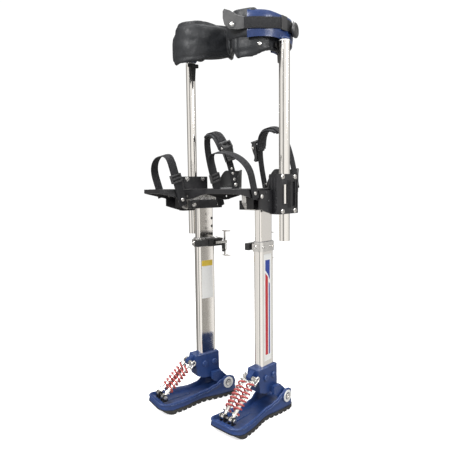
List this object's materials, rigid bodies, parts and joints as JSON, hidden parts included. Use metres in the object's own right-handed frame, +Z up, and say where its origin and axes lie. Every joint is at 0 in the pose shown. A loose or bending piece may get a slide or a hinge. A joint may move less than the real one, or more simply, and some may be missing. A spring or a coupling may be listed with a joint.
{
  "type": "pair of drywall stilts",
  "caption": "Pair of adjustable drywall stilts: sprung shoe-like soles, telescoping poles, strapped boot platforms, leg tubes and padded calf cuffs.",
  "frame": {"origin": "on the floor under the middle of the pair", "axes": "+Z up along the poles, -Y toward the toes, +X toward the wearer's left stilt"},
  "size_m": [0.3992, 0.3906, 1.156],
  "materials": {
    "blue_casting": "satin",
    "black_rubber": "matte",
    "black_steel": "satin",
    "black_alloy": "satin black coat",
    "polished_aluminium": "polished",
    "cast_aluminium": "satin",
    "bright_steel": "bright",
    "grey_plastic": "matte",
    "black_plastic": "satin",
    "red_spring": "gloss",
    "black_webbing": "woven",
    "dark_hardware": "satin",
    "blue_shell": "gloss",
    "black_padding": "quilted"
  },
  "bodies": {
    "left_sole": {"left_foot_casting": "blue_casting", "left_tread": "black_rubber", "left_toe_lugs": "black_steel", "left_heel_axle": "black_steel"},
    "left_shank": {"left_ankle_casting": "blue_casting", "left_lower_pole": "polished_aluminium", "left_guide_sleeve": "grey_plastic", "left_pole_collar": "cast_aluminium", "left_latch_block": "black_plastic", "left_shank_bolts": "bright_steel"},
    "left_latch": {"left_latch_lever": "bright_steel"},
    "left_pin": {"left_lock_pin": "bright_steel"},
    "left_barrels": {"left_spring_barrels": "bright_steel", "left_coil_springs": "red_spring"},
    "left_rods": {"left_spring_rods": "bright_steel"},
    "left_upper": {"left_upper_pole": "polished_aluminium", "left_pole_saddle": "cast_aluminium", "left_saddle_jaw": "black_alloy", "left_foot_platform": "black_alloy", "left_side_bracket": "black_alloy", "left_bracket_bolts": "bright_steel", "left_heel_cup": "black_plastic", "left_toe_strap": "black_webbing", "left_ankle_strap": "black_webbing", "left_strap_buckles": "dark_hardware"},
    "left_buckle": {"left_buckle_lever": "dark_hardware"},
    "left_leg": {"left_leg_tube": "polished_aluminium"},
    "left_cuff": {"left_cuff_band": "blue_shell", "left_cuff_pad": "black_padding", "left_cuff_strap": "black_webbing"},
    "right_sole": {"right_foot_casting": "blue_casting", "right_tread": "black_rubber", "right_toe_lugs": "black_steel", "right_heel_axle": "black_steel"},
    "right_shank": {"right_ankle_casting": "blue_casting", "right_lower_pole": "polished_aluminium", "right_guide_sleeve": "grey_plastic", "right_pole_collar": "cast_aluminium", "right_latch_block": "black_plastic", "right_shank_bolts": "bright_steel"},
    "right_latch": {"right_latch_lever": "bright_steel"},
    "right_pin": {"right_lock_pin": "bright_steel"},
    "right_barrels": {"right_spring_barrels": "bright_steel", "right_coil_springs": "red_spring"},
    "right_rods": {"right_spring_rods": "bright_steel"},
    "right_upper": {"right_upper_pole": "polished_aluminium", "right_pole_saddle": "cast_aluminium", "right_saddle_jaw": "black_alloy", "right_foot_platform": "black_alloy", "right_side_bracket": "black_alloy", "right_bracket_bolts": "bright_steel", "right_heel_cup": "black_plastic", "right_toe_strap": "black_webbing", "right_ankle_strap": "black_webbing", "right_strap_buckles": "dark_hardware"},
    "right_buckle": {"right_buckle_lever": "dark_hardware"},
    "right_leg": {"right_leg_tube": "polished_aluminium"},
    "right_cuff": {"right_cuff_band": "blue_shell", "right_cuff_pad": "black_padding", "right_cuff_strap": "black_webbing"}
  },
  "joints": [
    {"name": "left_ankle_flex", "type": "hinge", "parent": "left_sole", "child": "left_shank", "pos_m": [0.09589, 0.11345, 0.048], "axis": [0.9936, 0.1132, 0], "range_deg": [-4, 9], "stiffness_Nm_per_rad": 900},
    {"name": "left_spring_swing", "type": "hinge", "parent": "left_sole", "child": "left_barrels", "pos_m": [0.12034, -0.10116, 0.046], "axis": [0.9936, 0.1132, 0], "range_deg": [-3.4, 1.6]},
    {"name": "left_spring_slide", "type": "slide", "parent": "left_barrels", "child": "left_rods", "axis": [-0.0852, 0.7477, 0.6585], "range_m": [-0.0225, 0.0105], "deforming": ["left_coil_springs"]},
    {"name": "left_latch_rock", "type": "hinge", "parent": "left_shank", "child": "left_latch", "pos_m": [0.06574, 0.11304, 0.484], "axis": [-0.1132, 0.9936, 0], "range_deg": [0, 26]},
    {"name": "left_lock_slide", "type": "slide", "parent": "left_shank", "child": "left_pin", "axis": [0.9936, 0.1132, 0], "range_m": [0, 0.012]},
    {"name": "left_pole_height", "type": "slide", "parent": "left_shank", "child": "left_upper", "axis": [0, 0, 1], "range_m": [-0.075, 0.25]},
    {"name": "left_leg_tube_height", "type": "slide", "parent": "left_upper", "child": "left_leg", "axis": [0, 0, 1], "range_m": [-0.08, 0.06]},
    {"name": "left_cuff_swivel", "type": "hinge", "parent": "left_leg", "child": "left_cuff", "pos_m": [0.17419, 0.07104, 1.081], "axis": [0, 0, 1], "range_deg": [-8, 8]},
    {"name": "left_buckle_lift", "type": "hinge", "parent": "left_upper", "child": "left_buckle", "pos_m": [0.03433, 0.10143, 0.805], "axis": [-0.1088, 0.9551, 0.2756], "range_deg": [0, 80]},
    {"name": "right_ankle_flex", "type": "hinge", "parent": "right_sole", "child": "right_shank", "pos_m": [-0.09589, 0.05145, 0.048], "axis": [0.9936, -0.1132, 0], "range_deg": [-4, 9], "stiffness_Nm_per_rad": 900},
    {"name": "right_spring_swing", "type": "hinge", "parent": "right_sole", "child": "right_barrels", "pos_m": [-0.12034, -0.16316, 0.046], "axis": [0.9936, -0.1132, 0], "range_deg": [-3.4, 1.6]},
    {"name": "right_spring_slide", "type": "slide", "parent": "right_barrels", "child": "right_rods", "axis": [0.0852, 0.7477, 0.6585], "range_m": [-0.0225, 0.0105], "deforming": ["right_coil_springs"]},
    {"name": "right_latch_rock", "type": "hinge", "parent": "right_shank", "child": "right_latch", "pos_m": [-0.06574, 0.05104, 0.484], "axis": [-0.1132, -0.9936, 0], "range_deg": [0, 26]},
    {"name": "right_lock_slide", "type": "slide", "parent": "right_shank", "child": "right_pin", "axis": [-0.9936, 0.1132, 0], "range_m": [0, 0.012]},
    {"name": "right_pole_height", "type": "slide", "parent": "right_shank", "child": "right_upper", "axis": [0, 0, 1], "range_m": [-0.075, 0.25]},
    {"name": "right_leg_tube_height", "type": "slide", "parent": "right_upper", "child": "right_leg", "axis": [0, 0, 1], "range_m": [-0.08, 0.06]},
    {"name": "right_cuff_swivel", "type": "hinge", "parent": "right_leg", "child": "right_cuff", "pos_m": [-0.17419, 0.00904, 1.081], "axis": [0, 0, -1], "range_deg": [-8, 8]},
    {"name": "right_buckle_lift", "type": "hinge", "parent": "right_upper", "child": "right_buckle", "pos_m": [-0.03433, 0.03943, 0.805], "axis": [-0.1088, -0.9551, -0.2756], "range_deg": [0, 80]},
    {"name": "pair_spacing", "type": "slide", "parent": "left_sole", "child": "right_sole", "axis": [-1, 0, 0], "range_m": [0, 0.12]}
  ],
  "couplings": [
    {"joint": "left_spring_swing", "follows": "left_ankle_flex", "ratio": -0.35},
    {"joint": "left_spring_slide", "follows": "left_ankle_flex", "m_per_rad": -0.138},
    {"joint": "left_lock_slide", "follows": "left_latch_rock", "m_per_rad": 0.026},
    {"joint": "right_spring_swing", "follows": "right_ankle_flex", "ratio": -0.35},
    {"joint": "right_spring_slide", "follows": "right_ankle_flex", "m_per_rad": -0.138},
    {"joint": "right_lock_slide", "follows": "right_latch_rock", "m_per_rad": 0.026}
  ]
}
